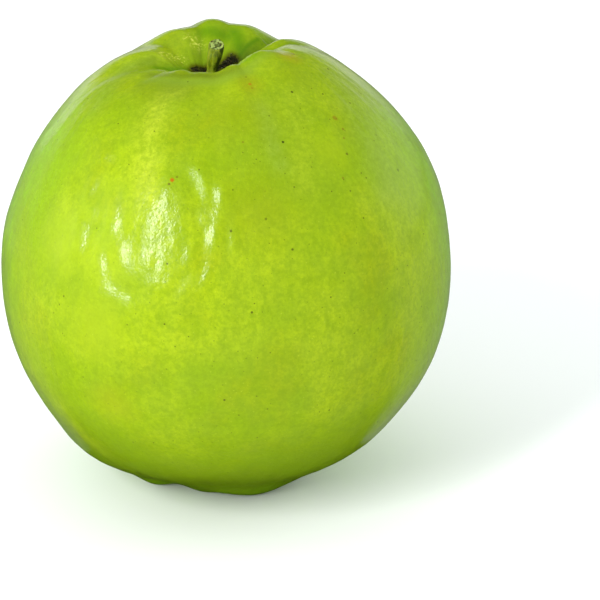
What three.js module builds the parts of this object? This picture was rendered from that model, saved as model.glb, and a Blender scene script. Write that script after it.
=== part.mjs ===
// A whole guava as picked: a round, slightly lobed fruit with a stub of stem in the hollow on top
// and the five dried sepals of its blossom in a shallow basin underneath.
// Millimetres, +Z up, the fruit standing on small flat spots at z = 0.
// Azimuths are degrees from +X towards +Y, and the photographed side faces -Y.
import * as THREE from "three";

// Driving dimensions of the fruit
const bellyRadius = 50;
const stepsAround = 80;
const stepsDown = 54;

// Half outline from the stem's seat over the crest round the hollow, down the belly
// and in to the middle of the blossom basin: radius, height
const halfOutline = [
  [0, 94.2], [3.2, 94.4], [6.4, 95.6], [9.6, 98], [12.6, 99.9], [16, 100.6], [21.5, 98.7],
  [28.8, 93.3], [36.3, 85.8], [43.1, 76.2], [48.2, 63.6], [bellyRadius, 50], [48.6, 36.4],
  [44, 24.8], [37, 14.8], [29, 7.7], [20.8, 3.8], [15.5, 2.2], [11, 3], [7, 5.6], [3.6, 7.1], [0, 7.4],
];
const crestPoint = 5;
const [crestRadius, crestHeight] = halfOutline[crestPoint];
const shoulderRadius = 34;

// Crest of the hollow, lobe by lobe: azimuth, radius, height
const rimLobes = [
  [12, 15.5, 100.2], [35, 16.5, 99.7], [54, 17, 98.2], [77, 17, 100.6], [100, 17, 101.9],
  [125, 16.5, 100.5], [148, 16.5, 98.2], [168, 17, 98.6], [192, 16.5, 97.3], [210, 15, 97.5], [230, 13.5, 98.7],
  [262, 13, 98.7], [287, 12.5, 100.4], [318, 12.5, 102.2], [345, 14, 101],
];

// Creases that run out of the hollow: azimuth, depth, half width in degrees, reach past the crest
const creases = [
  [24, 1, 8, 12], [55, 1.6, 8, 9], [87, 0.6, 5, 6], [112, 0.9, 6, 8],
  [184, 0.6, 14, 16], [238, 0.5, 9, 22], [290, 0.35, 6, 12],
];

// Swellings of the skin: azimuth, height, how far out, spread in degrees, spread in height
const swellings = [
  [205, 8.5, 2.3, 34, 8],
  [330, 12, 1.2, 40, 9],
  [250, 86, 0.5, 7, 12],
  [255, 5, -2, 40, 8],
];

// Feet that the fruit stands on: azimuth, radius, spread in and out, spread round the basin
const feet = [
  [8, 15, 6, 9], [62, 18, 6.5, 10], [128, 18.5, 6.5, 8],
  [207, 17.5, 6, 5.5], [246, 12, 5.5, 5.5], [298, 14, 6, 10],
];
const footPress = 0.35;

// The hollow, its crest, the shoulders and the base sit a little off the middle: x, y
const seatShift = [-3, -1.5];
const crestShift = [-0.3, 1];
const shoulderShift = [0.6, 0];
const baseShift = [-1.8, 3.4];
const waveCount = 5;
const waveHeight = 0.3;
const wavePhase = 20;

// Stem stub; its cut slants down to the front
const stemTopHeight = 102.5;
const stemTopRadius = 1.65;
const stemNeckRadius = 1.1;
const stemLean = 1.4;
const stemSlant = 0.42;
const stemSides = 18;

// Dried sepals: azimuth, length, how far the tip curls outward
const sepals = [[14, 3, 1.6], [90, 3.3, -0.6], [158, 2.8, 1.1], [232, 3.4, 0.4], [301, 3.1, 1.9]];
const sepalRingRadius = 5.4;
const sepalRingAlong = 19 / 21;
const sepalHalfWidth = 2.1;
const sepalHalfThickness = 0.4;
const gap = 0.3;

const outline = new THREE.SplineCurve(halfOutline.map(([radius, height]) => new THREE.Vector2(radius, height)));
const smooth = (low, high, value) => THREE.MathUtils.smoothstep(value, low, high);
const bump = (distance) => Math.exp(-distance * distance);
const turn = (from, to) => THREE.MathUtils.euclideanModulo(to - from + 180, 360) - 180;
const cosine = (degrees) => Math.cos(THREE.MathUtils.degToRad(degrees));
const sine = (degrees) => Math.sin(THREE.MathUtils.degToRad(degrees));

// One column of a table of azimuths, eased from each row to the next all the way round
function around(table, column, azimuth) {
  const next = table.findIndex((row) => row[0] > azimuth);
  const after = table[next < 0 ? 0 : next];
  const before = table[(next < 0 ? table.length : next || table.length) - 1];
  const span = THREE.MathUtils.euclideanModulo(after[0] - before[0], 360);
  const way = THREE.MathUtils.euclideanModulo(azimuth - before[0], 360) / span;
  return THREE.MathUtils.lerp(before[column], after[column], smooth(0, 1, way));
}

// How deep the creases cut at one place of the upper skin
function creaseDepth(azimuth, radius, inHollow) {
  let depth = 0;
  for (const [middle, deepest, halfWidth, reach] of creases) {
    const across = turn(middle, azimuth) / halfWidth;
    const fade = inHollow ? smooth(2.6, 9, radius) : bump(Math.max(radius - crestRadius, 0) / reach);
    depth += deepest * Math.exp(0.3 - Math.hypot(across, 0.3)) * fade;
  }
  return depth;
}

// How far the skin's own middle is off the stem's line at one height
function offset(axis, radius, height, upper) {
  if (!upper) return baseShift[axis] * (1 - smooth(2, 34, height));
  const rim = smooth(84, 99, height);
  const seat = 1 - smooth(3, 15, radius);
  const shoulder = smooth(58, 72, height) * (1 - smooth(74, 94, height));
  return rim * THREE.MathUtils.lerp(crestShift[axis], seatShift[axis], seat) + shoulder * shoulderShift[axis];
}

// The feet draw the skin down to small flat spots at z = 0
function standOnFeet(x, y, height) {
  let low = height;
  for (const [azimuth, radius, spreadOut, spreadRound] of feet) {
    const out = (x * cosine(azimuth) + y * sine(azimuth) - radius) / spreadOut;
    const round = (y * cosine(azimuth) - x * sine(azimuth)) / spreadRound;
    low -= (low + footPress) * bump(Math.hypot(out, round)) * (1 - smooth(8, 24, height));
  }
  return Math.max(low, 0);
}

// The skin at an azimuth and a place along the half outline, from 0 at the stem to 1 at the blossom
function skinPoint(azimuth, along) {
  const { x: plainRadius, y: plainHeight } = outline.getPoint(along);
  const upper = along < 0.5;
  const inHollow = along < crestPoint / (halfOutline.length - 1);
  let radius = plainRadius;
  let height = plainHeight;
  if (upper) {
    const outside = 1 - smooth(crestRadius, shoulderRadius, plainRadius);
    const pull = inHollow ? smooth(0, crestRadius, plainRadius) : outside;
    const lift = inHollow ? smooth(2.5, crestRadius - 1, plainRadius) : outside;
    const depth = creaseDepth(azimuth, plainRadius, inHollow);
    radius += (around(rimLobes, 1, azimuth) - crestRadius) * pull - (inHollow ? 0 : depth * 0.35);
    height += (around(rimLobes, 2, azimuth) - crestHeight) * lift - depth * 0.85;
  }
  const girth = smooth(20, 44, plainRadius);
  radius += waveHeight * cosine(waveCount * (azimuth - wavePhase)) * girth;
  for (const [middle, level, out, spread, rise] of swellings) {
    const reach = smooth(12, 22, plainRadius);
    radius += out * bump(turn(middle, azimuth) / spread) * bump((plainHeight - level) / rise) * reach;
  }
  const x = radius * cosine(azimuth) + offset(0, plainRadius, plainHeight, upper);
  const y = radius * sine(azimuth) + offset(1, plainRadius, plainHeight, upper);
  return new THREE.Vector3(x, y, upper ? height : standOnFeet(x, y, height));
}

// A closed skin over rings of points, with a point at each end. The rings run anticlockwise
// seen from the first end, so the faces point out.
function closedSkin(first, rings, last) {
  const count = rings[0].length;
  const points = [first, ...rings.flat(), last];
  const faces = [];
  const at = (ring, step) => 1 + ring * count + (step % count);
  for (let step = 0; step < count; step += 1) {
    faces.push(0, at(0, step), at(0, step + 1));
    for (let ring = 0; ring < rings.length - 1; ring += 1) {
      faces.push(at(ring, step), at(ring + 1, step), at(ring + 1, step + 1));
      faces.push(at(ring, step), at(ring + 1, step + 1), at(ring, step + 1));
    }
    faces.push(points.length - 1, at(rings.length - 1, step + 1), at(rings.length - 1, step));
  }
  const geometry = new THREE.BufferGeometry().setFromPoints(points);
  geometry.setIndex(faces);
  geometry.computeVertexNormals();
  return geometry;
}

function fruitGeometry() {
  const rings = [];
  for (let ring = 1; ring < stepsDown; ring += 1) {
    const along = ring / stepsDown;
    rings.push(Array.from({ length: stepsAround }, (_, step) => skinPoint((step * 360) / stepsAround, along)));
  }
  return closedSkin(skinPoint(0, 0), rings, skinPoint(0, 1));
}

// A ring of the stem: a slightly five-sided round that leans over, and tips to the front, as it rises
function stemRing(height, radius) {
  const seat = skinPoint(0, 0);
  const rise = (height - seat.z) / (stemTopHeight - seat.z);
  return Array.from({ length: stemSides }, (_, side) => {
    const azimuth = (side * 360) / stemSides;
    const round = radius * (1 + 0.06 * cosine(5 * azimuth));
    const tip = stemSlant * stemTopRadius * (1 - sine(azimuth)) * rise;
    return new THREE.Vector3(
      seat.x - 0.6 + stemLean * rise + round * cosine(azimuth), seat.y + round * sine(azimuth), height - tip);
  });
}

function stemGeometry() {
  const foot = skinPoint(0, 0).z + gap + 0.15;
  const rings = [
    stemRing(stemTopHeight, stemTopRadius * 0.8),
    stemRing(stemTopHeight - 0.3, stemTopRadius),
    stemRing(stemTopHeight - 2.2, stemTopRadius * 0.97),
    stemRing(foot + 2, stemNeckRadius),
    stemRing(foot, stemNeckRadius * 1.3),
  ];
  const middle = (ring) => ring[0].clone().lerp(ring[stemSides / 2], 0.5);
  return closedSkin(middle(rings[0]), rings, middle(rings.at(-1)));
}

// A dried sepal: a thin pointed leaf that hangs from the basin and curls towards its tip
function sepalGeometry(azimuth, length, curl) {
  const basin = new THREE.Vector3(baseShift[0], baseShift[1], 0);
  const outward = new THREE.Vector3(cosine(azimuth), sine(azimuth), 0);
  const sideways = new THREE.Vector3(-sine(azimuth), cosine(azimuth), 0);
  const rootHeight = skinPoint(azimuth, sepalRingAlong).z - gap - 0.1;
  const centre = (way) => basin.clone()
    .addScaledVector(outward, sepalRingRadius + curl * way * way)
    .setZ(rootHeight - length * way);
  const rings = [0.02, 0.3, 0.6, 0.85].map((way) => {
    const halfWidth = sepalHalfWidth * (1 - 0.8 * way * way);
    return Array.from({ length: 10 }, (_, side) => centre(way)
      .addScaledVector(sideways, halfWidth * cosine(side * 36))
      .addScaledVector(outward, -sepalHalfThickness * (1 - 0.4 * way) * sine(side * 36) + 0.5 * cosine(side * 36) ** 2));
  });
  return closedSkin(centre(0), rings, centre(1));
}

const fruitSkin = new THREE.MeshStandardMaterial({ color: 0xa9cf3a, roughness: 0.35, metalness: 0 });
const freshStem = new THREE.MeshStandardMaterial({ color: 0x7f9a3c, roughness: 0.7, metalness: 0 });
const driedSepal = new THREE.MeshStandardMaterial({ color: 0x4a3420, roughness: 0.9, metalness: 0 });

function piece(name, geometry, material) {
  const mesh = new THREE.Mesh(geometry, material);
  mesh.name = name;
  return mesh;
}

const guava = new THREE.Group();
guava.add(piece("fruit", fruitGeometry(), fruitSkin));
guava.add(piece("stem_stub", stemGeometry(), freshStem));
sepals.forEach(([azimuth, length, curl], index) => {
  guava.add(piece(`sepal_${index + 1}`, sepalGeometry(azimuth, length, curl), driedSepal));
});

// The middle of the fruit's box stands over the origin
const box = new THREE.Box3().setFromObject(guava.children[0]);
const middle = box.getCenter(new THREE.Vector3());
for (const mesh of guava.children) {
  mesh.position.set(-middle.x, -middle.y, 0);
}

export default guava;
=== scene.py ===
"""A whole guava as picked, on a pale floor in soft studio light, in metres."""
import math
import bpy
import numpy as np
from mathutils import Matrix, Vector, noise
from mathutils.bvhtree import BVHTree


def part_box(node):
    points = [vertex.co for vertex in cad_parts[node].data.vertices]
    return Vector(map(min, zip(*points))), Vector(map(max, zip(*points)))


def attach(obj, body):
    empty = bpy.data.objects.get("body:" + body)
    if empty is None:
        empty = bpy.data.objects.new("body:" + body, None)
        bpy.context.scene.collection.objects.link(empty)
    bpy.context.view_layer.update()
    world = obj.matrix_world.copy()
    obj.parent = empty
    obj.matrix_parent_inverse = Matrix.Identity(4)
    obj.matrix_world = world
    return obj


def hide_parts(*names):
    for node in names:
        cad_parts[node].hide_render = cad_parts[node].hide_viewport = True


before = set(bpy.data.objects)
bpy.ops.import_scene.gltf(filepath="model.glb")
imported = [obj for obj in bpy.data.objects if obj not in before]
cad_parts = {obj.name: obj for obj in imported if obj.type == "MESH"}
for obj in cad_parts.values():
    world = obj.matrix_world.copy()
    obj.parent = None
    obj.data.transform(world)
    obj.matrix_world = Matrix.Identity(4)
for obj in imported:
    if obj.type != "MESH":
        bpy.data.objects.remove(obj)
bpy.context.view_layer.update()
MM = 0.001

# The photograph's view: a long lens, a little above the fruit, aimed beside it
VIEW_ELEVATION = math.radians(24)
VIEW_DISTANCE = 500 * MM
FOCAL_PIXELS = 2239.4
PICTURE_PIXELS = 600
FRUIT_PIXEL = (226.6, 269.6)
FRUIT_MIDDLE = 49 * MM
SENSOR = 36

# Where the window stands, in metres, on the upper left in front
WINDOW = (-0.486, -0.615, 0.512)

# Half outline of the fruit in millimetres, as in the frame: radius, height
HALF_OUTLINE = np.array([
    (0, 94.2), (3.2, 94.4), (6.4, 95.6), (9.6, 98), (12.6, 99.9), (16, 100.6), (21.5, 98.7),
    (28.8, 93.3), (36.3, 85.8), (43.1, 76.2), (48.2, 63.6), (50, 50), (48.6, 36.4),
    (44, 24.8), (37, 14.8), (29, 7.7), (20.8, 3.8), (15.5, 2.2), (11, 3), (7, 5.6), (3.6, 7.1), (0, 7.4),
])
CREST_POINT = 5
CREST_RADIUS, CREST_HEIGHT = HALF_OUTLINE[CREST_POINT]
SHOULDER_RADIUS = 34

# How far along the half outline the hollow ends, and the upper half of the fruit
HOLLOW_END = CREST_POINT / (len(HALF_OUTLINE) - 1)
UPPER_END = 0.5

# Crest of the hollow, lobe by lobe: azimuth in degrees, radius, height
RIM_LOBES = np.array([
    (12, 15.5, 100.2), (35, 16.5, 99.7), (54, 17, 98.2), (77, 17, 100.6), (100, 17, 101.9),
    (125, 16.5, 100.5), (148, 16.5, 98.2), (168, 17, 98.6), (192, 16.5, 97.3), (210, 15, 97.5),
    (230, 13.5, 98.7), (262, 13, 98.7), (287, 12.5, 100.4), (318, 12.5, 102.2), (345, 14, 101),
])

# Creases out of the hollow: azimuth, depth, half width in degrees, reach past the crest
CREASES = [
    (24, 1, 8, 12), (55, 1.6, 8, 9), (87, 0.6, 5, 6), (112, 0.9, 6, 8),
    (184, 0.6, 14, 16), (238, 0.5, 9, 22), (290, 0.35, 6, 12),
]

# How far a crease goes in and down, as shares of its depth
CREASE_IN = 0.35
CREASE_DOWN = 0.85

# Swellings: azimuth, height, how far out, spread in degrees, spread in height
SWELLINGS = [(205, 8.5, 2.3, 34, 8), (330, 12, 1.2, 40, 9), (250, 86, 0.5, 7, 12), (255, 5, -2, 40, 8)]

# Small feet round the basin, pressed flat: azimuth, radius, spread in and out, spread round the basin
FEET = [
    (8, 15, 6, 9), (62, 18, 6.5, 10), (128, 18.5, 6.5, 8),
    (207, 17.5, 6, 5.5), (246, 12, 5.5, 5.5), (298, 14, 6, 10),
]
FOOT_PRESS = 0.35

# How far the stem's seat, the crest, the shoulder and the basin are off the middle, right and back
SEAT_SHIFT = (-3, -1.5)
CREST_SHIFT = (-0.3, 1)
SHOULDER_SHIFT = (0.6, 0)
BASE_SHIFT = (-1.8, 3.4)

# Heights between which these shifts come in, and go out again over the shoulder; radii for the seat
CREST_ZONE = (84, 99)
SEAT_ZONE = (3, 15)
SHOULDER_ZONE = (58, 72)
OVER_SHOULDER_ZONE = (74, 94)
BASE_ZONE = (2, 34)

# A slight wave round the girth
WAVE_COUNT = 5
WAVE_HEIGHT = 0.3
WAVE_PHASE = 20

# Sides where the skin is rippled: azimuth, height, spread in degrees, spread in height, how much
RIPPLED_SIDES = [
    (247, 66, 24, 26, 0.22),
    (80, 45, 40, 25, 0.8),
    (150, 62, 18, 16, 0.2),
    (20, 40, 18, 22, 0.4),
]

# How much the rest of the skin is rippled
CALM = 0.14

# Fine skin: steps of the mesh, then ripples, lumps and the hollow's wrinkles in millimetres
STEPS_AROUND = 440
STEPS_DOWN = 210
RIPPLE_HEIGHT = 0.66
RIPPLES_AROUND = 12
RIPPLE_STRETCH = 95
LUMP_HEIGHT = 0.28
LUMP_SIZE = 11
SMALL_LUMP_SIZE = 5
WRINKLE_HEIGHT = 0.12
WRINKLES_AROUND = 9
WRINKLE_STRETCH = 60

# Stem stub, as in the frame: its cut slants down to the front, its foot flares, its edge is worn
STEM_TOP_HEIGHT = 102.5
STEM_TOP_RADIUS = 1.65
STEM_NECK_RADIUS = 1.1
STEM_SLANT = 0.42
STEM_LEAN = 1.4
STEM_ASIDE = 0.6
STEM_FLARE = 0.75
STEM_EDGE = 0.14
STEM_RIBS = 5
STEM_RIB_HEIGHT = 0.05
STEM_BARK = 0.1
STEM_KNOTS = 0.08
STEM_SIDES = 64
STEM_LEVELS = 44
STEM_SINK = 1.2
CUT_RINGS = (0.18, 0.36, 0.54, 0.7, 0.84, 0.94)

# Dried sepals: azimuth, length, how far the tip curls outward
SEPALS = [(14, 3, 1.6), (90, 3.3, -0.6), (158, 2.8, 1.1), (232, 3.4, 0.4), (301, 3.1, 1.9)]
SEPAL_RING_RADIUS = 5.4
SEPAL_RING_ALONG = 19 / 21
SEPAL_HALF_WIDTH = 2.1
SEPAL_HALF_THICKNESS = 0.32
SEPAL_SINK = 1.4
SEPAL_SIDES = 40
SEPAL_ROOT_RINGS = 6
SEPAL_LEAF_RINGS = 26

# The gap that the frame leaves between the fruit and its stem and sepals
GAP = 0.3


def smooth(low, high, value):
    """Eased step from 0 at low to 1 at high."""
    way = np.clip((value - low) / (high - low), 0, 1)
    return way * way * (3 - 2 * way)


def bump(distance):
    return np.exp(-np.square(distance))


def turn(start, end):
    """Degrees from start to end, the short way round."""
    return (end - start + 180) % 360 - 180


def cosine(degrees):
    return np.cos(np.radians(degrees))


def sine(degrees):
    return np.sin(np.radians(degrees))


def half_outline(along):
    """Radius and height on the half outline, a smooth curve through its points."""
    last = len(HALF_OUTLINE) - 1
    place = np.clip(along, 0, 1) * last
    index = np.minimum(np.floor(place).astype(int), last - 1)
    way = (place - index)[..., None]
    before = HALF_OUTLINE[np.maximum(index - 1, 0)]
    start = HALF_OUTLINE[index]
    end = HALF_OUTLINE[index + 1]
    after = HALF_OUTLINE[np.minimum(index + 2, last)]
    leave = (end - before) / 2
    arrive = (after - start) / 2
    cubic = (2 * start - 2 * end + leave + arrive) * way ** 3
    square = (3 * end - 3 * start - 2 * leave - arrive) * way ** 2
    point = cubic + square + leave * way + start
    return point[..., 0], point[..., 1]


def around(column, azimuth):
    """One column of the rim's lobes, eased from lobe to lobe all the way round."""
    places = np.concatenate([RIM_LOBES[:, 0] - 360, RIM_LOBES[:, 0], RIM_LOBES[:, 0] + 360])
    values = np.tile(RIM_LOBES[:, column], 3)
    after = np.searchsorted(places, azimuth % 360, side="right")
    way = smooth(0, 1, (azimuth % 360 - places[after - 1]) / (places[after] - places[after - 1]))
    return values[after - 1] * (1 - way) + values[after] * way


def crease_depth(azimuth, radius, in_hollow):
    """How deep the creases are, which fade down into the hollow and out over the shoulder."""
    depth = 0
    for middle, deepest, half_width, reach in CREASES:
        across = turn(middle, azimuth) / half_width
        outside = bump(np.maximum(radius - CREST_RADIUS, 0) / reach)
        fade = np.where(in_hollow, smooth(2.6, 9, radius), outside)
        depth = depth + deepest * np.exp(0.3 - np.hypot(across, 0.3)) * fade
    return depth


def offset(axis, radius, height, upper):
    """How far the skin's own middle is off the stem's line at one height."""
    rim = smooth(*CREST_ZONE, height)
    seat = 1 - smooth(*SEAT_ZONE, radius)
    shoulder = smooth(*SHOULDER_ZONE, height) * (1 - smooth(*OVER_SHOULDER_ZONE, height))
    top = CREST_SHIFT[axis] * (1 - seat) + SEAT_SHIFT[axis] * seat
    above = rim * top + shoulder * SHOULDER_SHIFT[axis]
    return np.where(upper, above, BASE_SHIFT[axis] * (1 - smooth(*BASE_ZONE, height)))


def stand_on_feet(x, y, height):
    """Heights with the feet pressed down to the floor."""
    low = height
    for azimuth, radius, spread_out, spread_round in FEET:
        out = (x * cosine(azimuth) + y * sine(azimuth) - radius) / spread_out
        across = (y * cosine(azimuth) - x * sine(azimuth)) / spread_round
        low = low - (low + FOOT_PRESS) * bump(np.hypot(out, across)) * (1 - smooth(8, 24, height))
    return np.maximum(low, 0)


def skin_points(azimuth, along):
    """Points of the skin in millimetres, before its middle is put over the origin."""
    plain_radius, plain_height = half_outline(along)
    upper = along < UPPER_END
    in_hollow = along < HOLLOW_END
    outside = 1 - smooth(CREST_RADIUS, SHOULDER_RADIUS, plain_radius)
    pull = np.where(in_hollow, smooth(0, CREST_RADIUS, plain_radius), outside) * upper
    lift = np.where(in_hollow, smooth(2.5, CREST_RADIUS - 1, plain_radius), outside) * upper
    depth = crease_depth(azimuth, plain_radius, in_hollow) * upper
    narrower = np.where(in_hollow, 0, depth * CREASE_IN)
    radius = plain_radius + (around(1, azimuth) - CREST_RADIUS) * pull - narrower
    height = plain_height + (around(2, azimuth) - CREST_HEIGHT) * lift - depth * CREASE_DOWN
    girth = smooth(20, 44, plain_radius)
    radius = radius + WAVE_HEIGHT * cosine(WAVE_COUNT * (azimuth - WAVE_PHASE)) * girth
    for middle, level, out, spread, rise in SWELLINGS:
        near = bump(turn(middle, azimuth) / spread) * bump((plain_height - level) / rise)
        radius = radius + out * near * smooth(12, 22, plain_radius)
    x = radius * cosine(azimuth) + offset(0, plain_radius, plain_height, upper)
    y = radius * sine(azimuth) + offset(1, plain_radius, plain_height, upper)
    z = np.where(upper, height, stand_on_feet(x, y, height))
    return np.stack([x, y, z], -1)


def noise_at(points, seed):
    """Smooth noise from about -1 to 1 at an array of points."""
    flat = points.reshape(-1, 3) + np.array([seed * 17.3, seed * 5.1, seed * 9.7])
    values = np.array([noise.noise(Vector(point)) for point in flat.tolist()])
    return values.reshape(points.shape[:-1])


def normals_of(grid):
    """Outward unit vectors of a grid of points that closes round its second axis."""
    down = np.gradient(grid, axis=0)
    across = np.roll(grid, -1, axis=1) - np.roll(grid, 1, axis=1)
    outward = np.cross(down, across)
    return outward / np.maximum(np.linalg.norm(outward, axis=-1, keepdims=True), 1e-9)


def mesh_object(name, first, rings, last):
    """A closed skin over rings of points, with a point at each end, in metres."""
    rows, count = rings.shape[:2]
    points = np.concatenate([[first], rings.reshape(-1, 3), [last]])
    step = np.arange(count)
    following = (step + 1) % count
    faces = [(0, 1 + a, 1 + b) for a, b in zip(step, following)]
    for row in range(rows - 1):
        here = 1 + row * count
        below = here + count
        faces += [(here + a, below + a, below + b, here + b) for a, b in zip(step, following)]
    end = len(points) - 1
    here = 1 + (rows - 1) * count
    faces += [(end, here + b, here + a) for a, b in zip(step, following)]
    mesh = bpy.data.meshes.new(name)
    mesh.from_pydata(points.tolist(), [], [tuple(int(v) for v in face) for face in faces])
    mesh.shade_smooth()
    piece = bpy.data.objects.new(name, mesh)
    bpy.context.scene.collection.objects.link(piece)
    return piece


def ring_values(values, first, last):
    """Values for the points of mesh_object, in its order."""
    return np.concatenate([[first], values.reshape(-1), [last]])


def set_attribute(piece, name, values):
    attribute = piece.data.attributes.new(name, "FLOAT", "POINT")
    attribute.data.foreach_set("value", np.asarray(values, dtype=np.float32))


def make_camera():
    """The photograph's camera; gives its place and the ways right, up and forward."""
    back = Vector((0, -math.cos(VIEW_ELEVATION), math.sin(VIEW_ELEVATION)))
    up = Vector((0, math.sin(VIEW_ELEVATION), math.cos(VIEW_ELEVATION)))
    right = Vector((1, 0, 0))
    per_pixel = VIEW_DISTANCE / FOCAL_PIXELS
    middle = PICTURE_PIXELS / 2
    aim = Vector((0, 0, FRUIT_MIDDLE))
    aim += right * ((middle - FRUIT_PIXEL[0]) * per_pixel)
    aim -= up * ((middle - FRUIT_PIXEL[1]) * per_pixel)
    data = bpy.data.cameras.new("camera")
    data.sensor_width = SENSOR
    data.lens = FOCAL_PIXELS / PICTURE_PIXELS * SENSOR
    camera = bpy.data.objects.new("camera", data)
    bpy.context.scene.collection.objects.link(camera)
    camera.location = aim + back * VIEW_DISTANCE
    camera.rotation_mode = "QUATERNION"
    camera.rotation_quaternion = (-back).to_track_quat("-Z", "Y")
    bpy.context.scene.camera = camera
    return camera.location.copy(), right, up, -back


def pixel_ray(view, pixel):
    """Where the camera stands, and the way from it through a pixel."""
    place, right, up, forward = view
    middle = PICTURE_PIXELS / 2
    ray = forward * FOCAL_PIXELS + right * (pixel[0] - middle) - up * (pixel[1] - middle)
    return place, ray.normalized()


def skin_tree(fruit):
    points = [vertex.co[:] for vertex in fruit.data.vertices]
    return BVHTree.FromPolygons(points, [polygon.vertices[:] for polygon in fruit.data.polygons])


def on_skin(view, tree, pixel):
    """The place on the skin that a pixel shows, in millimetres, and the way it faces there."""
    place, ray = pixel_ray(view, pixel)
    hit, facing = tree.ray_cast(place, ray)[:2]
    return np.array(hit) / MM, np.array(facing)


def unit(vector):
    return vector / np.linalg.norm(vector)


def gap_to_line(points, start, end):
    """How far points are from the straight line between two of them."""
    line = end - start
    along = np.clip((points - start) @ line / np.dot(line, line), 0, 1)
    return np.linalg.norm(points - start - along[..., None] * line, axis=-1)


def facets(grid, view, tree):
    """Heights of the slight facets whose gloss shows the window, in millimetres."""
    height = np.zeros(grid.shape[:-1])
    eye = np.array(view[0]) / MM
    window = np.array(WINDOW) / MM
    for first, last, half_width, _ in GLINTS:
        start = on_skin(view, tree, first)[0]
        end = on_skin(view, tree, last)[0]
        middle, facing = on_skin(view, tree, ((first[0] + last[0]) / 2, (first[1] + last[1]) / 2))
        wanted = unit(unit(eye - middle) + unit(window - middle))
        lean = facing - wanted
        near = bump(gap_to_line(grid, start, end) / half_width)
        height += near * ((grid - middle) @ lean)
    return height


def skin_waves(grid, azimuth, along):
    """How far ripples along the meridians, lumps and wrinkles move the skin out, in millimetres."""
    radius, height = half_outline(along)
    lively = CALM
    for middle, level, spread, rise, much in RIPPLED_SIDES:
        near = bump(turn(middle, azimuth) / spread) * bump((height - level) / rise)
        lively = lively + much * near
    belly = smooth(17, 30, radius) * np.minimum(lively, 1)
    drawn_out = np.stack([cosine(azimuth), sine(azimuth), height / RIPPLE_STRETCH], -1) * RIPPLES_AROUND
    ripple = noise_at(drawn_out, 1) + 0.45 * noise_at(drawn_out * 2.1, 2)
    lump = noise_at(grid / LUMP_SIZE, 3) + 0.4 * noise_at(grid / SMALL_LUMP_SIZE, 4)
    creased = np.stack([cosine(azimuth), sine(azimuth), height / WRINKLE_STRETCH], -1) * WRINKLES_AROUND
    near_crest = smooth(2, 6, radius) * (1 - smooth(11, 24, radius)) * (along < UPPER_END)
    wrinkle = noise_at(creased, 5) * near_crest
    out = RIPPLE_HEIGHT * ripple * belly + LUMP_HEIGHT * lump * belly + WRINKLE_HEIGHT * wrinkle
    return out * smooth(0.2, 3, grid[..., 2])


def mark_zones(fruit, azimuth, along):
    """Values that say where the hollow, its creases and the basin are, for the skin's colours."""
    radius = half_outline(along)[0]
    in_hollow = along < HOLLOW_END
    hollow = np.where(in_hollow, 1 - smooth(2, 16, radius), 0)
    crease = np.clip(crease_depth(azimuth, radius, in_hollow) * (along < UPPER_END), 0, 1.6)
    basin = np.where(along > UPPER_END, 1 - smooth(3.5, 12, radius), 0)
    set_attribute(fruit, "hollow", ring_values(hollow, 1, 0))
    set_attribute(fruit, "crease", ring_values(crease, 0, 0))
    set_attribute(fruit, "basin", ring_values(basin, 0, 1))
    set_attribute(fruit, "inside", ring_values(in_hollow * smooth(14.5, 12, radius), 1, 0))


def make_fruit(view):
    """The fine skin, in the place of the frame's fruit; gives its two ends and how far it was moved."""
    azimuth, along = np.meshgrid(
        np.arange(STEPS_AROUND) * 360 / STEPS_AROUND,
        np.arange(1, STEPS_DOWN) / STEPS_DOWN)
    grid = skin_points(azimuth, along)
    ends = skin_points(np.zeros(2), np.array([0.0, 1.0]))
    low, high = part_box("fruit")
    target = (np.array(low) + np.array(high))[:2] / 2 / MM
    middle = (grid.reshape(-1, 3).min(0) + grid.reshape(-1, 3).max(0))[:2] / 2
    shift = np.append(target - middle, 0)
    grid += shift
    ends += shift
    fruit = mesh_object("guava_skin", ends[0] * MM, grid * MM, ends[1] * MM)
    out = skin_waves(grid, azimuth, along) + facets(grid, view, skin_tree(fruit))
    fine = grid + normals_of(grid) * out[..., None]
    fine[..., 2] = np.maximum(fine[..., 2], 0)
    points = np.concatenate([ends[:1], fine.reshape(-1, 3), ends[1:]])
    fruit.data.vertices.foreach_set("co", (points * MM).astype(np.float32).ravel())
    fruit.data.update()
    mark_zones(fruit, azimuth, along)
    return fruit, ends, shift


def stem_side(seat):
    """Rings of points round the stem's side, from the edge of the cut down to its root."""
    foot = seat[2] - STEM_SINK
    angle = np.arange(STEM_SIDES) * 360 / STEM_SIDES
    azimuth, way = np.meshgrid(angle, np.linspace(0, 1, STEM_LEVELS))
    top = STEM_TOP_HEIGHT - STEM_SLANT * STEM_TOP_RADIUS * (1 - sine(azimuth))
    level = foot + (top - foot) * way
    above = (level - seat[2]) / (top - seat[2])
    width = STEM_NECK_RADIUS + (STEM_TOP_RADIUS - STEM_NECK_RADIUS) * smooth(0.25, 0.8, above)
    width = width + STEM_FLARE * bump((above + 0.02) / 0.16)
    width = width - STEM_EDGE * bump((above - 1) / 0.03)
    bark = noise_at(np.stack([cosine(azimuth) * 2.4, sine(azimuth) * 2.4, level / 3.2], -1), 11)
    knots = noise_at(np.stack([cosine(azimuth) * 1.1, sine(azimuth) * 1.1, level / 1.3], -1), 12)
    ribs = STEM_RIB_HEIGHT * cosine(STEM_RIBS * azimuth)
    width = width * (1 + ribs + STEM_BARK * bark + STEM_KNOTS * knots)
    x = seat[0] - STEM_ASIDE + STEM_LEAN * above + width * cosine(azimuth)
    y = seat[1] + width * sine(azimuth)
    return np.stack([x, y, level], -1)[::-1]


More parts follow.
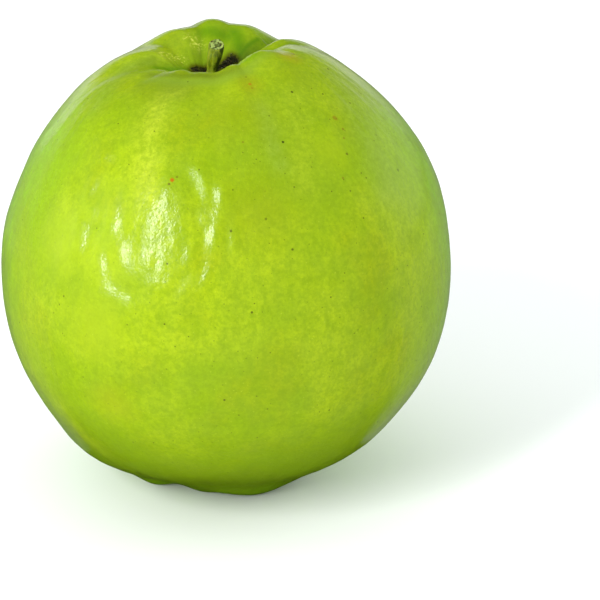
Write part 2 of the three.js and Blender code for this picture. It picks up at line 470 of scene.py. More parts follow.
def stem_cut(edge, middle):
    """Rings of points across the rough cut, from near its middle out to its edge."""
    rings = []
    for share in CUT_RINGS:
        ring = middle + (edge - middle) * share
        rough = noise_at(ring * 1.9, 13) * 0.2 + noise_at(ring * 4.3, 14) * 0.1
        slant = STEM_SLANT * (ring[:, 1] - middle[1])
        ring[:, 2] = middle[2] + slant - 0.12 + rough - 0.14 * (1 - share)
        rings.append(ring)
    return np.array(rings)


def make_stem(ends):
    """The stub of stem: ribbed, leaning a little, with a rough cut top; its root sinks into the seat."""
    seat = ends[0]
    root = np.array([seat[0] - STEM_ASIDE, seat[1], seat[2] - STEM_SINK])
    side = stem_side(seat)
    middle = root + np.array([STEM_LEAN, 0, 0])
    middle[2] = STEM_TOP_HEIGHT - STEM_SLANT * STEM_TOP_RADIUS
    rings = np.concatenate([stem_cut(side[0], middle), side])
    rings[..., 2] = np.minimum(rings[..., 2], STEM_TOP_HEIGHT + 0.15)
    stem = mesh_object("stem", (middle - [0, 0, 0.2]) * MM, rings * MM, root * MM)
    cut = np.zeros(rings.shape[:2])
    cut[:len(CUT_RINGS)] = 1
    cut[len(CUT_RINGS)] = 0.6
    set_attribute(stem, "cut", ring_values(cut, 1, 0))
    angles = np.broadcast_to(np.arange(STEM_SIDES) * 360 / STEM_SIDES, rings.shape[:2])
    # Higher on the stem's right side, where the scuffs become painted shade
    set_attribute(stem, "bark", ring_values(cosine(angles - 20), 0, 0))
    return stem


def make_sepal(index, shift):
    """One dried sepal: a thin crumpled leaf that hangs from the basin; its root sinks into the fruit."""
    azimuth, length, curl = SEPALS[index]
    root_height = skin_points(np.array(float(azimuth)), np.array(SEPAL_RING_ALONG))[2] - GAP - 0.1
    outward = np.array([cosine(azimuth), sine(azimuth), 0])
    sideways = np.array([-sine(azimuth), cosine(azimuth), 0])
    basin = np.array([BASE_SHIFT[0], BASE_SHIFT[1], 0]) + shift
    angle = np.arange(SEPAL_SIDES) * 360 / SEPAL_SIDES
    sunk = np.linspace(-SEPAL_SINK / length, 0, SEPAL_ROOT_RINGS, endpoint=False)
    rings = []
    for way in np.concatenate([sunk, np.linspace(0, 0.97, SEPAL_LEAF_RINGS)]):
        grown = max(way, 0)
        half_width = SEPAL_HALF_WIDTH * (1 - 0.82 * grown ** 2.2)
        half_thickness = SEPAL_HALF_THICKNESS * (1 - 0.5 * grown)
        centre = basin + outward * (SEPAL_RING_RADIUS + curl * grown * grown)
        centre = centre + np.array([0, 0, root_height - length * way])
        cup = 0.55 * cosine(angle) ** 2 * (1 - 0.4 * grown)
        ring = centre + np.outer(half_width * cosine(angle), sideways)
        ring = ring + np.outer(cup - half_thickness * sine(angle), outward)
        crumple = noise_at(ring * 0.9, 20 + index) * 0.34 + noise_at(ring * 2.1, 30 + index) * 0.16
        ring = ring + np.outer(crumple * (0.35 + 0.65 * grown), outward)
        ragged = noise_at(ring * 1.6, 40 + index) * 0.3 * grown
        ring[:, 2] += ragged
        rings.append(ring)
    rings = np.array(rings)
    rings[..., 2] = np.maximum(rings[..., 2], 0.2)
    first = rings[0].mean(0)
    last = rings[-1].mean(0) - np.array([0, 0, 0.15])
    return mesh_object(f"dried_sepal_{index + 1}", first * MM, rings * MM, last * MM)


def shade(red, green, blue):
    """A colour of 0 to 255 as the shader's linear numbers."""
    parts = [value / 255 for value in (red, green, blue)]
    linear = [part / 12.92 if part <= 0.04045 else ((part + 0.055) / 1.055) ** 2.4 for part in parts]
    return (*linear, 1)


# Colours of the skin, before its tone
LIME = shade(180, 210, 28)
LEAF_GREEN = shade(157, 194, 18)
OLIVE = shade(166, 186, 14)
# Painted shade: darker green towards the bottom of the fruit
LOW_SHADE_GREEN = shade(130, 170, 10)
# Greener far side: partly the skin's own tint, partly painted light that lifts its edges
FAR_GREEN_AND_PAINTED_LIGHT = shade(142, 216, 24)
CLOUD_GREEN = shade(144, 182, 16)
# Pale streaks of the skin, also used for a painted highlight and a painted reflection
PALE_AND_SHEEN_GREEN = shade(200, 224, 68)
# Grey-green of the skin, also used for painted reflection
GREY_AND_REFLECTION_GREEN = shade(152, 188, 84)
STREAK_GREEN = shade(146, 182, 34)
MOTTLE_GREEN = shade(136, 172, 16)
PORE_GREEN = shade(104, 132, 14)
LIGHT_GREEN = shade(204, 226, 84)
GRAIN_GREEN = shade(126, 160, 10)
# Painted grey reflection along the front lip
LIP_REFLECTION_GREEN = shade(142, 176, 58)
# Painted shade in front of the hollow's lip
PAINTED_SHADE_GREEN = shade(104, 126, 36)
FRECKLE_BROWN = shade(104, 96, 12)
SPECK_BROWN = shade(70, 72, 14)
# Deeper green of the hollow, partly painted shade
HOLLOW_GREEN_AND_SHADE = shade(126, 162, 4)
# Painted shade on the walls of the hollow
DEEP_SHADE_GREEN = shade(96, 150, 4)
# Painted highlight of pale flecks in the hollow
PAINTED_SPARKLE_YELLOW = shade(224, 240, 120)
# Painted shade at the bottom of the hollow
PIT_SHADE_GREEN = shade(54, 78, 8)
# Painted shade in the creases
FOLD_SHADE_GREEN = shade(84, 124, 8)
# Painted shadow round the seat of the stem
SEAT_SHADE_OLIVE = shade(84, 88, 2)
# Near-black of the seat: cork, and partly painted shadow
DARK_CORK_AND_SHADOW = shade(20, 26, 6)
BROWN_CORK = shade(60, 54, 24)
BASIN_GREEN = shade(136, 158, 40)
SCAR_BROWN = shade(74, 52, 30)

# Colours of the stem and its cut
BARK_GREEN = shade(130, 144, 6)
FIBRE_GREEN = shade(96, 116, 4)
# Dark scuffs, also painted shade on the stem's right side
SCUFF_AND_SHADE_GREEN = shade(46, 60, 4)
CUT_GREEN = shade(164, 184, 96)
DULL_CUT_GREEN = shade(84, 98, 30)
HOLE_BROWN = shade(44, 38, 20)

# Colours of the dried sepals
DRY_BROWN = shade(58, 38, 22)
PALE_BROWN = shade(104, 74, 42)
DARK_BROWN = shade(34, 24, 16)


class Graph:
    """Adds nodes to one new material and joins them."""

    def __init__(self, name):
        self.material = bpy.data.materials.new(name)
        self.material.use_nodes = True
        self.tree = self.material.node_tree
        self.shader = self.tree.nodes["Principled BSDF"]

    def put(self, socket, value):
        """Links a socket to another one, or sets its own value."""
        if isinstance(value, bpy.types.NodeSocket):
            self.tree.links.new(value, socket)
        else:
            socket.default_value = value

    def node(self, kind, inputs=(), **settings):
        """A new node with its settings and its inputs, by name or number."""
        made = self.tree.nodes.new(kind)
        for name, value in settings.items():
            setattr(made, name, value)
        for key, value in dict(inputs).items():
            self.put(made.inputs[key], value)
        return made

    def math(self, operation, first, second=0.0):
        return self.node("ShaderNodeMath", {0: first, 1: second}, operation=operation).outputs[0]

    def attribute(self, name):
        return self.node("ShaderNodeAttribute", attribute_name=name).outputs["Fac"]

    def stretched(self, vector, factors):
        """A place with each of its three parts scaled, which draws patterns out or squashes them."""
        return self.node("ShaderNodeMapping", {"Vector": vector, "Scale": factors}).outputs[0]

    def scaled(self, vector, factor):
        inputs = {0: vector, "Scale": factor}
        return self.node("ShaderNodeVectorMath", inputs, operation="SCALE").outputs[0]

    def noise(self, vector, scale, detail=2.0, roughness=0.5):
        inputs = {"Vector": vector, "Scale": scale, "Detail": detail, "Roughness": roughness}
        return self.node("ShaderNodeTexNoise", inputs).outputs["Fac"]

    def cells(self, vector, scale):
        """Distance to the nearest cell point, and two random numbers for that cell."""
        found = self.node("ShaderNodeTexVoronoi", {"Vector": vector, "Scale": scale})
        split = self.node("ShaderNodeSeparateColor", {0: found.outputs["Color"]})
        return found.outputs["Distance"], split.outputs[0], split.outputs[1]

    def ramp(self, value, low, high, start=0.0, end=1.0):
        """An eased step from start, where the value is low, to end, where it is high."""
        inputs = {"Value": value, "From Min": low, "From Max": high, "To Min": start, "To Max": end}
        return self.node("ShaderNodeMapRange", inputs, interpolation_type="SMOOTHSTEP").outputs[0]

    def mix(self, factor, first, second, blend="MIX"):
        inputs = {0: factor, 6: first, 7: second}
        settings = {"data_type": "RGBA", "blend_type": blend}
        return self.node("ShaderNodeMix", inputs, **settings).outputs[2]

    def dots(self, vector, scale, radius, share):
        """Round specks: cells of one size, dots of a radius in cells, on a share of them."""
        distance, pick, size = self.cells(vector, scale)
        reach = self.ramp(size, 0, 1, radius * 0.55, radius)
        near = self.math("DIVIDE", distance, reach)
        chosen = self.math("LESS_THAN", pick, share)
        return self.math("MULTIPLY", self.ramp(near, 0.55, 1, 1, 0), chosen)

    def bump(self, height, distance, strength=1.0, normal=None):
        inputs = {"Height": height, "Distance": distance, "Strength": strength}
        if normal is not None:
            inputs["Normal"] = normal
        return self.node("ShaderNodeBump", inputs).outputs[0]

    def place_mm(self):
        coordinates = self.node("ShaderNodeTexCoord").outputs["Object"]
        return self.scaled(coordinates, 1 / MM)


# Marks on the skin: pixel, radius in millimetres, colour, strength
MARKS = [
    ((172, 180), 0.5, (196, 108, 8), 0.9),
    ((169, 184), 0.3, (96, 66, 16), 0.7),
    ((177, 177), 0.25, (110, 80, 16), 0.6),
    # Painted shade in the fold below the left crease
    ((150, 94), 2.8, (138, 168, 10), 0.45),
    ((250, 85), 2.2, (170, 160, 24), 0.4),
    ((250, 84), 0.4, (190, 110, 20), 0.6),
    ((252, 88), 0.3, (150, 90, 20), 0.5),
    ((289, 56), 2.2, (190, 164, 34), 0.5),
    ((293, 54), 0.5, (120, 100, 24), 0.6),
    ((283, 142), 0.3, (30, 30, 10), 0.95),
    ((292, 92), 0.32, (60, 66, 14), 0.85),
    ((328, 69), 0.3, (90, 90, 20), 0.7),
    ((350, 103), 0.3, (90, 96, 30), 0.6),
    ((398, 170), 0.35, (46, 56, 16), 0.85),
    ((266, 219), 0.3, (50, 54, 12), 0.85),
    ((231, 231), 0.3, (60, 60, 12), 0.85),
    ((243, 142), 0.3, (120, 110, 20), 0.6),
    ((58, 121), 0.45, (90, 110, 30), 0.6),
    ((70, 103), 0.35, (96, 110, 36), 0.6),
    ((335, 118), 0.7, (150, 122, 22), 0.6),
    ((343, 129), 0.35, (130, 96, 20), 0.65),
    ((344, 138), 0.3, (120, 96, 20), 0.6),
    ((347, 154), 0.35, (70, 64, 16), 0.8),
    ((343, 178), 0.3, (130, 100, 20), 0.6),
    ((112, 402), 4.5, (196, 192, 8), 0.28),
    ((232, 112), 7, (156, 178, 4), 0.4),
    ((258, 210), 7, (150, 172, 4), 0.5),
    ((292, 72), 4, (150, 172, 4), 0.35),
    # Painted sheen: a soft pale haze round the patches of gloss on the left
    ((104, 215), 6, (184, 224, 96), 0.22),
    ((108, 268), 6, (200, 228, 84), 0.25),
    ((63, 242), 6, (204, 232, 60), 0.3),
    ((94, 328), 6, (208, 228, 44), 0.32),
    ((398, 176), 6, (138, 178, 56), 0.45),
    ((175, 41), 3.2, (128, 160, 30), 0.6),
    ((332, 150), 4, (186, 212, 36), 0.4),
]

# Bands on the skin, here and below: pixels along the band, half width in millimetres, strength
# Paler streaks of the skin, with a painted highlight on the hollow's left wall and a painted reflection
# along the lower left edge
PALE_AND_SHEEN_BANDS = [
    ([(167, 94), (160, 104), (150, 126), (146, 150), (146, 176), (148, 198)], 3.1, 1),
    # Painted highlight on the left wall of the hollow
    ([(164, 58), (180, 61)], 1.2, 0.4),
    ([(186, 92), (172, 112)], 0.7, 0.4),
    ([(226, 96), (222, 120), (221, 150)], 1.4, 0.25),
    ([(290, 98), (300, 140), (303, 184)], 3.2, 0.34),
    # Painted reflection along the lower left edge
    ([(58, 402), (66, 415), (80, 433), (100, 449)], 2.8, 0.45),
]
GREY_AND_REFLECTION_BANDS = [
    ([(262, 108), (268, 135), (280, 165)], 2.2, 0.7),
    # Greyer skin with painted reflection on the right side
    ([(338, 80), (362, 128), (384, 190)], 4.2, 0.55),
    # Painted reflection on the left shoulder
    ([(146, 62), (128, 68), (110, 86), (96, 108)], 2.8, 0.7),
]

# The front lip of the hollow with its painted grey reflection, the painted shade on the folds before it,
# and the freckled right side
LIP_REFLECTION_BANDS = [
    ([(150, 80), (168, 81), (186, 82), (222, 80), (246, 71)], 1.9, 0.9),
    ([(246, 70), (258, 60), (272, 52)], 1.3, 0.7),
]
# Painted shade in front of the hollow's lip and on the folds below it
PAINTED_SHADE_BANDS = [
    ([(150, 75), (170, 75), (186, 75.5), (215, 76), (230, 71)], 1.4, 0.5),
    ([(192, 75.5), (206, 75.5)], 1.1, 0.65),
    ([(148, 86), (165, 88), (182, 91)], 3.2, 0.36),
    ([(143, 63), (152, 60)], 1.6, 0.3),
]
FRECKLED_BANDS = [
    ([(318, 84), (340, 130), (352, 190)], 4.5, 1),
    ([(300, 150), (330, 154)], 2.5, 0.8),
    ([(262, 200), (236, 250)], 3, 0.6),
]

# Painted shade: deeper green on the walls of the hollow and beside it
DEEP_SHADE_BANDS = [
    ([(234, 32), (238, 40), (240, 48)], 2, 0.8),
    ([(206, 31), (218, 33), (228, 36)], 2.2, 0.75),
    ([(238, 57), (247, 46), (258, 39)], 0.7, 0.9),
    ([(254, 47), (268, 43)], 2, 0.3),
    ([(247, 60), (256, 54)], 1.3, 0.5),
    ([(255, 30), (261, 36), (267, 44)], 1.4, 0.3),
    ([(156, 68), (174, 70), (187, 70)], 1.1, 0.75),
]

# Painted highlight: patches of pale flecks on the left wall of the hollow, where its wax sparkles
PAINTED_SPARKLE_BANDS = [
    ([(163, 54), (180, 60)], 1.3, 1),
    ([(190, 38), (198, 45)], 1.6, 0.8),
]

# Gloss, where the skin leans to the window: pixels at both ends, half width in millimetres, strength
GLINTS = [
    ((166, 193), (161, 248), 3.5, 0.9),
    ((145, 252), (148, 263), 1.2, 0.75),
    ((154, 267), (160, 269), 1, 0.7),
    ((120, 207), (115, 226), 2.3, 0.65),
    ((122, 238), (124, 262), 2.4, 0.6),
    ((101, 257), (108, 275), 1.8, 0.75),
    ((102, 290), (127, 294), 1.7, 0.8),
    ((86, 224), (82, 244), 2.4, 0.6),
    ((97, 183), (92, 193), 1.7, 0.75),
    ((95, 211), (97, 220), 1.7, 0.65),
    ((195, 172), (200, 190), 2, 0.4),
    ((219, 191), (217, 200), 1.6, 0.68),
    ((211, 209), (209, 229), 2.4, 0.85),
    ((208, 235), (211, 242), 1.6, 0.72),
    ((198, 214), (201, 223), 1.1, 0.6),
    ((229, 232), (231, 245), 1.3, 0.6),
    ((186, 251), (184, 262), 1.3, 0.55),
    ((150, 277), (164, 281), 1.8, 0.45),
    ((205, 266), (202, 283), 1.3, 0.6),
    ((188, 278), (180, 292), 1.5, 0.5),
    ((105, 157), (112, 160), 1.4, 0.5),
]

# The quiet skin between the patches of gloss
QUIET_BANDS = [([(166, 195), (158, 285)], 17, 1)]

# The dark floor of the hollow as it is seen behind the front lip: corky, and partly painted shadow
CORK_AND_SHADOW_BANDS = [([(196, 69.5), (203, 70), (212, 69), (222, 66), (229, 62), (233, 59)], 1.9, 1)]

# The skin's values that come from bands
BANDS = {
    "pale": PALE_AND_SHEEN_BANDS,
    "grey": GREY_AND_REFLECTION_BANDS,
    "lip": LIP_REFLECTION_BANDS,
    "freckled": FRECKLED_BANDS,
    "deep": DEEP_SHADE_BANDS,
    "shaded": PAINTED_SHADE_BANDS,
    "painted_sparkle": PAINTED_SPARKLE_BANDS,
    "cork": CORK_AND_SHADOW_BANDS,
    "quiet": QUIET_BANDS,
    "glint": [([first, last], half_width, strength) for first, last, half_width, strength in GLINTS],
}

# Dark specks in two kinds: millimetres apart, radius and share of places that have one, strength
SPECKS = [(6, 0.055, 0.8, 0.8), (2.4, 0.1, 0.6, 0.75)]

# Sizes of the skin's patterns in millimetres, and how far its dots are apart
PATCH_SIZE = 26
OLIVE_SIZE = 15
WAX_SIZE = 6
PORES_APART = 1.6
LIGHTS_APART = 1.1
FRECKLES_APART = 1.8
PEBBLES_APART = 0.65

# Marks of a larger radius than this, in millimetres, fade out softly; the others have an edge
SOFT_MARK = 2

# How deep the skin's pebbles, wrinkles, pores and cork are
PEBBLE_DEPTH = 0.028 * MM
FINE_WRINKLE_DEPTH = 0.1 * MM
PORE_DEPTH = 0.03 * MM
CORK_DEPTH = 0.8 * MM

# How much of each colour of the light the skin gives back, next to its painted colours
SKIN_TONE = (0.8, 0.76, 0.42, 1)

# The two greys of the floor
FLOOR_TONES = (0.9, 0.92, 0.92, 1), (0.92, 0.935, 0.935, 1)


def band_values(points, view, tree, bands):
    """How much of some bands every point of the skin has."""
    values = np.zeros(len(points))
    for pixels, half_width, strength in bands:
        path = [on_skin(view, tree, pixel)[0] for pixel in pixels]
        nearest = np.full(len(points), np.inf)
        for start, end in zip(path, path[1:]):
            nearest = np.minimum(nearest, gap_to_line(points, start, end))
        values = np.maximum(values, strength * bump(nearest / half_width))
    return values


def add_bands(fruit, view, tree):
    points = np.empty(len(fruit.data.vertices) * 3)
    fruit.data.vertices.foreach_get("co", points)
    points = points.reshape(-1, 3) / MM
    for name, bands in BANDS.items():
        set_attribute(fruit, name, band_values(points, view, tree, bands))


def add_patches(g, place):
    """Lime skin with wide olive and green patches, painted shade low down, and a greener far side that is
    partly painted light.
    """
    away, height = g.node("ShaderNodeSeparateXYZ", {0: place}).outputs[1:3]
    patches = g.ramp(g.noise(place, 1 / PATCH_SIZE, 2), 0.38, 0.62)
    colour = g.mix(patches, LIME, LEAF_GREEN)
    olive = g.ramp(g.noise(place, 1 / OLIVE_SIZE, 3), 0.5, 0.7, 0, 0.6)
    colour = g.mix(olive, colour, OLIVE)
    # Painted shade: the skin turns darker green towards the bottom
    low = g.ramp(height, 38, 8, 0, 0.9)
    colour = g.mix(low, colour, LOW_SHADE_GREEN)
    # Greener far side: partly the skin's own tint, partly painted light that lifts the edges
    far_side_and_painted_light = g.math("MULTIPLY", g.ramp(away, -34, 2, 0, 0.76), g.ramp(height, 94, 80))
    return g.mix(far_side_and_painted_light, colour, FAR_GREEN_AND_PAINTED_LIGHT)


def add_clouds(g, place, colour):
    """Darker clouds, with the paler and greyer bands between them; these bands hold painted highlight and
    painted reflection beside real streaks.
    """
    cloudy = g.noise(place, 0.22, 3, 0.6)
    colour = g.mix(g.ramp(cloudy, 0.4, 0.66, 0, 0.38), colour, CLOUD_GREEN)
    broken = g.ramp(cloudy, 0.7, 0.3, 0.55, 1)
    # Paler bands: real streaks, with a painted highlight and a painted reflection
    colour = g.mix(g.math("MULTIPLY", g.attribute("pale"), broken), colour, PALE_AND_SHEEN_GREEN)
    # Greyer bands: grey-green skin, with painted reflection on the right side and the left shoulder
    return g.mix(g.math("MULTIPLY", g.attribute("grey"), broken), colour, GREY_AND_REFLECTION_GREEN)


def add_mottling(g, place, colour, pores):
    """Upright streaks, mottling, dark pores, light flecks and grain."""
    streaks = g.ramp(g.noise(g.stretched(place, (1, 1, 0.3)), 0.42, 3, 0.6), 0.45, 0.68, 0, 0.35)
    colour = g.mix(streaks, colour, STREAK_GREEN)
    mottle = g.ramp(g.noise(place, 0.8, 4, 0.65), 0.36, 0.66, 0, 0.5)
    colour = g.mix(mottle, colour, MOTTLE_GREEN)
    colour = g.mix(g.math("MULTIPLY", pores, 0.65), colour, PORE_GREEN)
    lights = g.dots(place, 1 / LIGHTS_APART, 0.19, 0.6)
    colour = g.mix(g.math("MULTIPLY", lights, 0.35), colour, LIGHT_GREEN)
    grain = g.ramp(g.noise(place, 1.7, 3, 0.7), 0.36, 0.64, 0, 0.26)
    return g.mix(grain, colour, GRAIN_GREEN)


def add_specks(g, place, colour):
    """The front lip's painted grey reflection and the painted shade on the folds before it, then brown
    freckles and dark specks.
    """
    # Painted grey reflection along the front lip
    colour = g.mix(g.attribute("lip"), colour, LIP_REFLECTION_GREEN)
    # Painted shade on the folds in front of the lip
    colour = g.mix(g.attribute("shaded"), colour, PAINTED_SHADE_GREEN)
    freckles = g.math("MULTIPLY", g.dots(place, 1 / FRECKLES_APART, 0.13, 0.6), g.attribute("freckled"))
    colour = g.mix(freckles, colour, FRECKLE_BROWN)
    for apart, radius, share, strength in SPECKS:
        specks = g.dots(place, 1 / apart, radius, share)
        colour = g.mix(g.math("MULTIPLY", specks, strength), colour, SPECK_BROWN)
    return colour


def add_marks(g, place, colour, marks):
    """The marks that have places of their own, with wavy edges; a few are painted shade and painted
    sheen.
    """
    for spot, radius, tint, strength in marks:
        apart = g.node("ShaderNodeVectorMath", {0: place, 1: spot}, operation="DISTANCE").outputs["Value"]
        waves = g.math("MULTIPLY", g.noise(place, 1.6 / radius, 2), radius * 0.8)
        inner = 0.1 if radius > SOFT_MARK else 0.9
        cover = g.ramp(g.math("ADD", apart, waves), radius * inner, radius * (2.5 - inner), strength, 0)
        colour = g.mix(cover, colour, shade(*tint))
    return colour


def add_hollow(g, place, colour, ragged):
    """Deeper green and painted shade down into the hollow and its creases, painted highlight flecks, and
    a seat dark with cork and painted shadow; gives also where the cork is.
    """
    hollow = g.attribute("hollow")
    # Deeper green into the hollow, partly painted shade
    colour = g.mix(g.ramp(hollow, 0.1, 0.8, 0, 0.75), colour, HOLLOW_GREEN_AND_SHADE)
    # Painted shade on the walls of the hollow and beside it
    colour = g.mix(g.attribute("deep"), colour, DEEP_SHADE_GREEN)
    # Painted highlight: pale flecks on the hollow's left wall
    flecks = g.math("MULTIPLY", g.ramp(g.noise(place, 1.7, 2), 0.5, 0.62), g.attribute("painted_sparkle"))
    colour = g.mix(flecks, colour, PAINTED_SPARKLE_YELLOW)
    # Painted shade: darkest at the bottom of the hollow
    colour = g.mix(g.ramp(hollow, 0.66, 0.95, 0, 0.75), colour, PIT_SHADE_GREEN)
    # Painted shade in the creases out of the hollow
    fold_shade = g.ramp(g.attribute("crease"), 0.25, 1.3, 0, 0.5)
    colour = g.mix(fold_shade, colour, FOLD_SHADE_GREEN)
    # The traced dark band: cork, and partly painted shadow
    cork_and_shadow_line = g.math("MULTIPLY", g.attribute("cork"), g.attribute("inside"))
    seat = g.math("MAXIMUM", g.ramp(hollow, 0.8, 1), cork_and_shadow_line)
    # Painted shadow round the dark seat
    colour = g.mix(g.ramp(seat, 0.08, 0.7, 0, 0.85), colour, SEAT_SHADE_OLIVE)
    corky = g.ramp(g.math("ADD", seat, g.math("MULTIPLY", ragged, 0.8)), 0.64, 0.9)
    # The seat's dark colour: cork, and partly painted shadow
    tint = g.mix(g.ramp(g.noise(place, 1.3, 3), 0.42, 0.7), DARK_CORK_AND_SHADOW, BROWN_CORK)
    return g.mix(corky, colour, tint), corky


def add_basin(g, colour, ragged):
    """Duller green and a brown scar in the basin; gives also where the scar is."""
    basin = g.attribute("basin")
    scar = g.ramp(g.math("ADD", basin, ragged), 0.72, 1.0)
    colour = g.mix(g.ramp(basin, 0.0, 0.9, 0, 0.6), colour, BASIN_GREEN)
    return g.mix(scar, colour, SCAR_BROWN), scar


def skin_bumps(g, place, pores, dry, quiet):
    """Pebbles, fine wrinkles, pores and rough cork, one on top of the other."""
    distance = g.cells(place, 1 / PEBBLES_APART)[0]
    pebbles = g.bump(g.math("SUBTRACT", 1, g.math("MULTIPLY", distance, distance)), PEBBLE_DEPTH)
    creased = g.noise(g.stretched(place, (1, 1, 0.6)), 0.7, 3, 0.6)
    fine = g.math("MULTIPLY", creased, g.ramp(quiet, 0, 0.6, 0.4, 1))
    wrinkles = g.bump(fine, FINE_WRINKLE_DEPTH, 1, pebbles)
    pits = g.bump(g.math("SUBTRACT", 1, pores), PORE_DEPTH, 0.6, wrinkles)
    return g.bump(g.math("MULTIPLY", g.noise(place, 1.6, 4), dry), CORK_DEPTH, 0.8, pits)


def skin_gloss(g, place, quiet):
    """How glossy the wax is: most in the patches, least in the quiet skin and on the front lip."""
    ruffled = g.math("MULTIPLY", g.math("SUBTRACT", g.noise(place, 1.1, 3), 0.5), 0.9)
    patch = g.ramp(g.math("ADD", g.attribute("glint"), ruffled), 0.2, 0.65, 0, 0.42)
    lips = g.math("MAXIMUM", g.attribute("shaded"), g.attribute("lip"))
    dull = g.math("MAXIMUM", g.ramp(g.attribute("deep"), 0, 0.3), lips)
    plain = g.math("MULTIPLY", g.ramp(quiet, 0.15, 0.7, 0.7, 0.12), g.ramp(dull, 0, 1, 1, 0.1))
    return g.math("MAXIMUM", patch, plain)


def skin_material(marks):
    """The waxy skin of the fruit, from its wide patches down to its pores."""
    g = Graph("guava_skin")
    place = g.place_mm()
    quiet = g.attribute("quiet")
    pores = g.dots(place, 1 / PORES_APART, 0.13, 0.75)
    ragged = g.math("SUBTRACT", g.noise(place, 1.2, 3), 0.5)
    colour = add_clouds(g, place, add_patches(g, place))
    colour = add_mottling(g, place, colour, pores)
    colour = add_specks(g, place, colour)
    colour = add_marks(g, place, colour, marks)
    colour, corky = add_hollow(g, place, colour, ragged)
    colour, scar = add_basin(g, colour, ragged)
    colour = g.mix(1.0, colour, SKIN_TONE, "MULTIPLY")
    g.put(g.shader.inputs["Base Color"], colour)
    dry = g.math("MAXIMUM", corky, scar)
    wax = g.ramp(g.noise(place, 1 / WAX_SIZE, 3), 0.35, 0.65, 0.3, 0.42)
    g.put(g.shader.inputs["Roughness"], g.math("ADD", wax, g.math("MULTIPLY", dry, 0.4)))
    bumpy = skin_bumps(g, place, pores, dry, quiet)
    g.put(g.shader.inputs["Normal"], bumpy)
    g.put(g.shader.inputs["Coat Normal"], bumpy)
    g.put(g.shader.inputs["Coat Weight"], skin_gloss(g, place, quiet))
    g.shader.inputs["Specular IOR Level"].default_value = 0.13
    g.shader.inputs["Coat Roughness"].default_value = 0.18
    g.shader.inputs["Subsurface Weight"].default_value = 0.08
    g.shader.inputs["Subsurface Radius"].default_value = (0.9, 1.3, 0.3)
    g.shader.inputs["Subsurface Scale"].default_value = 2 * MM
    return g.material


def stem_material():
    """Green bark with dark scuffs, gathered as painted shade on its right side, and a paler cut with
    holes.
    """
    g = Graph("green_stem")
    place = g.place_mm()
    cut = g.attribute("cut")
    upright = g.stretched(place, (1.6, 1.6, 0.35))
    fibres = g.ramp(g.noise(upright, 1.4, 4, 0.6), 0.35, 0.66)
    colour = g.mix(fibres, BARK_GREEN, FIBRE_GREEN)
    # Painted shade: the dark scuffs gather on the stem's right side
    scuffs = g.math("ADD", g.noise(place, 0.9, 3), g.math("MULTIPLY", g.attribute("bark"), 0.4))
    colour = g.mix(g.ramp(scuffs, 0.34, 0.72, 0, 0.95), colour, SCUFF_AND_SHADE_GREEN)
    face = g.mix(g.ramp(g.noise(place, 1.5, 4), 0.42, 0.58), CUT_GREEN, DULL_CUT_GREEN)
    holes = g.dots(place, 1.1, 0.5, 0.4)
    face = g.mix(g.math("MULTIPLY", holes, 0.85), face, HOLE_BROWN)
    colour = g.mix(g.ramp(cut, 0.3, 0.8), colour, face)
    g.put(g.shader.inputs["Base Color"], colour)
    g.shader.inputs["Roughness"].default_value = 0.55
    g.shader.inputs["Specular IOR Level"].default_value = 0.3
    ridges = g.bump(fibres, 0.12 * MM, 0.8)
    g.put(g.shader.inputs["Normal"], g.bump(g.noise(place, 3, 3), 0.1 * MM, 0.7, ridges))
    g.shader.inputs["Subsurface Weight"].default_value = 0.08
    g.shader.inputs["Subsurface Scale"].default_value = 0.8 * MM
    return g.material


def sepal_material():
    """Dry brown leaf with blotches and dark flecks."""
    g = Graph("dried_sepal")
    place = g.place_mm()
    blotch = g.ramp(g.noise(place, 0.9, 4, 0.6), 0.36, 0.66)
    colour = g.mix(blotch, DRY_BROWN, PALE_BROWN)
    fleck = g.ramp(g.noise(place, 3.5, 3), 0.58, 0.7, 0, 0.7)
    colour = g.mix(fleck, colour, DARK_BROWN)
    g.put(g.shader.inputs["Base Color"], colour)
    g.shader.inputs["Roughness"].default_value = 0.85
    g.put(g.shader.inputs["Normal"], g.bump(g.noise(place, 2.2, 5, 0.7), 0.4 * MM, 0.9))
    return g.material


def floor_material():
    g = Graph("pale_floor")
    place = g.node("ShaderNodeTexCoord").outputs["Object"]
    tone = g.ramp(g.noise(place, 3, 2), 0.3, 0.7)
    g.put(g.shader.inputs["Base Color"], g.mix(tone, *FLOOR_TONES))
    g.shader.inputs["Roughness"].default_value = 0.85
    g.shader.inputs["Specular IOR Level"].default_value = 0.1
    return g.material


# Panels that face the fruit: name, place, width, depth, radiance, whether they light, and show in gloss
PANELS = [
    ("window", WINDOW, 0.15, 0.46, 28, True, True),
    ("right", (0.75, 0.63, 0.25), 0.85, 0.45, 0.38, True, True),
    ("back", (-0.1, 1.2, 0.165), 1.5, 0.33, 0.78, True, True),
    ("right_fill", (0.8, 0.4, 0.2), 0.8, 0.6, 3.1, True, False),
    ("left_fill", (-0.8, 0.33, 0.09), 0.8, 0.6, 3.1, True, False),
    ("left", (-0.62, 0.75, 0.12), 0.6, 0.24, 0.22, False, True),
]

# Panels that lie on the floor behind the fruit: place across and behind, width, depth, radiance
GROUND_PANELS = [
    (-0.335, 0.07, 0.6, 0.16, 0.13),
    (-0.335, 0.55, 0.6, 0.8, 0.22),
    (0.235, 0.32, 0.4, 0.66, 0.22),
]
GROUND_PANEL_HEIGHT = 3 * MM
FACING_UP = (0, 1, 0, 0)

# The floor, in metres, and the soft light all round
FLOOR_WIDTH = 6
SKY_COLOUR = (0.97, 0.99, 1, 1)
SKY_STRENGTH = 0.92


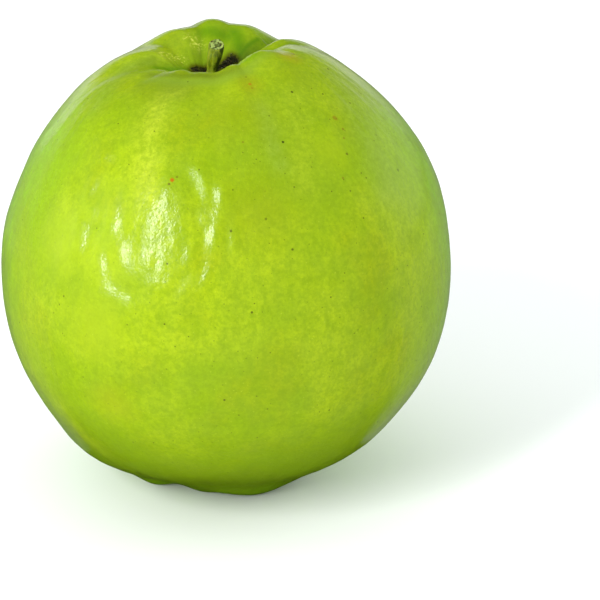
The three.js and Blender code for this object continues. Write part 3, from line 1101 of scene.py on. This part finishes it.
def panel(name, place, width, depth, radiance, lights, shows):
    """A soft light that faces the fruit; it may only light things, or only show in their gloss."""
    data = bpy.data.lights.new(name, "AREA")
    data.shape = "RECTANGLE"
    data.size = width
    data.size_y = depth
    data.energy = math.pi * width * depth * radiance
    light = bpy.data.objects.new(name, data)
    bpy.context.scene.collection.objects.link(light)
    light.location = place
    light.rotation_mode = "QUATERNION"
    aim = Vector((0, 0, FRUIT_MIDDLE))
    light.rotation_quaternion = (Vector(place) - aim).to_track_quat("Z", "Y")
    light.visible_camera = False
    light.visible_diffuse = lights
    light.visible_glossy = shows
    return light


def make_floor():
    bpy.ops.mesh.primitive_plane_add(size=FLOOR_WIDTH)
    floor = bpy.context.object
    floor.name = "floor"
    floor.data.materials.append(floor_material())
    floor.visible_glossy = False


def make_sky():
    world = bpy.data.worlds.new("studio")
    bpy.context.scene.world = world
    world.use_nodes = True
    world.node_tree.nodes["Background"].inputs[0].default_value = SKY_COLOUR
    world.node_tree.nodes["Background"].inputs[1].default_value = SKY_STRENGTH
    world.cycles_visibility.glossy = False


def make_studio():
    """The pale floor, the soft light all round and the panels."""
    make_floor()
    make_sky()
    for settings in PANELS:
        panel(*settings)
    for across, behind, width, depth, radiance in GROUND_PANELS:
        place = (across, behind, GROUND_PANEL_HEIGHT)
        lying = panel("pale_ground", place, width, depth, radiance, False, True)
        lying.rotation_quaternion = FACING_UP
    bpy.context.scene.view_settings.view_transform = "Standard"


def main():
    view = make_camera()
    fruit, ends, shift = make_fruit(view)
    tree = skin_tree(fruit)
    add_bands(fruit, view, tree)
    marks = [(on_skin(view, tree, pixel)[0], *looks) for pixel, *looks in MARKS]
    fruit.data.materials.append(skin_material(marks))
    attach(fruit, "root")
    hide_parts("fruit")
    stem = make_stem(ends)
    stem.data.materials.append(stem_material())
    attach(stem, "root")
    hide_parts("stem_stub")
    dried = sepal_material()
    for index in range(len(SEPALS)):
        sepal = make_sepal(index, shift)
        sepal.data.materials.append(dried)
        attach(sepal, "root")
        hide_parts(f"sepal_{index + 1}")
    make_studio()


main()
